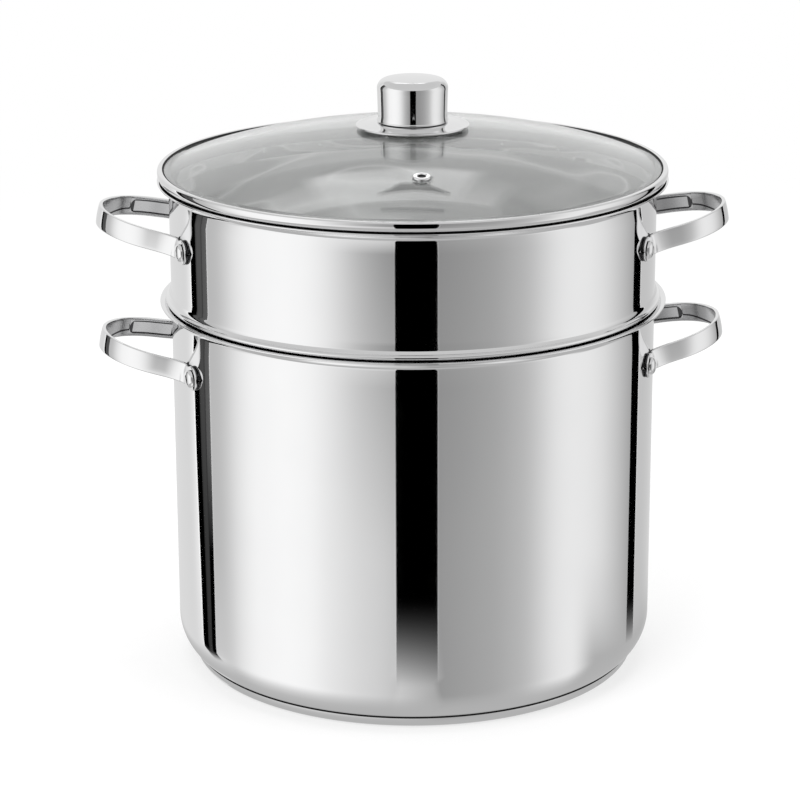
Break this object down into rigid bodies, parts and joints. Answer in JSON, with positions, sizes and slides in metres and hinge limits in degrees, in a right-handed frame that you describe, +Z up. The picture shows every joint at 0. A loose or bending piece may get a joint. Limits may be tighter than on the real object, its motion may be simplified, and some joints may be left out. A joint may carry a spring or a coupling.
{
  "type": "pasta pot with strainer insert",
  "caption": "Tall stainless stock pot with strap loop handles, a lift-out strainer insert that sits in its rim, and a domed glass lid with a steel band and knob.",
  "frame": {"origin": "on the pot's axis at the flat underside of its base", "axes": "+Z up along the pot's axis; X runs through the pot's two handles; -Y is the front, the side the picture was taken from, turned 5.3 degrees"},
  "size_m": [0.339, 0.272, 0.3201],
  "materials": {
    "polished_steel": "mirror polished stainless",
    "aluminium": "matt",
    "tempered_glass": "clear polished",
    "silicone": "matt"
  },
  "bodies": {
    "pot": {"pot_shell": "polished_steel", "pot_left_handle": "polished_steel", "pot_right_handle": "polished_steel", "pot_rivet_left_front": "polished_steel", "pot_rivet_left_rear": "polished_steel", "pot_rivet_right_front": "polished_steel", "pot_rivet_right_rear": "polished_steel", "base_core": "aluminium", "base_cap": "polished_steel"},
    "insert": {"insert_shell": "polished_steel", "insert_left_handle": "polished_steel", "insert_right_handle": "polished_steel", "insert_rivet_left_front": "polished_steel", "insert_rivet_left_rear": "polished_steel", "insert_rivet_right_front": "polished_steel", "insert_rivet_right_rear": "polished_steel"},
    "lid": {"lid_glass": "tempered_glass", "lid_band": "polished_steel", "vent_eyelet": "polished_steel", "knob": "polished_steel", "knob_flange": "polished_steel", "upper_gasket": "silicone", "lower_gasket": "silicone", "lower_washer": "polished_steel", "knob_screw": "polished_steel"}
  },
  "joints": [
    {"name": "insert_lift", "type": "slide", "parent": "pot", "child": "insert", "axis": [0, 0, 1], "range_m": [0, 0.18]},
    {"name": "lid_lift", "type": "slide", "parent": "insert", "child": "lid", "axis": [0, 0, 1], "range_m": [0, 0.1]}
  ]
}
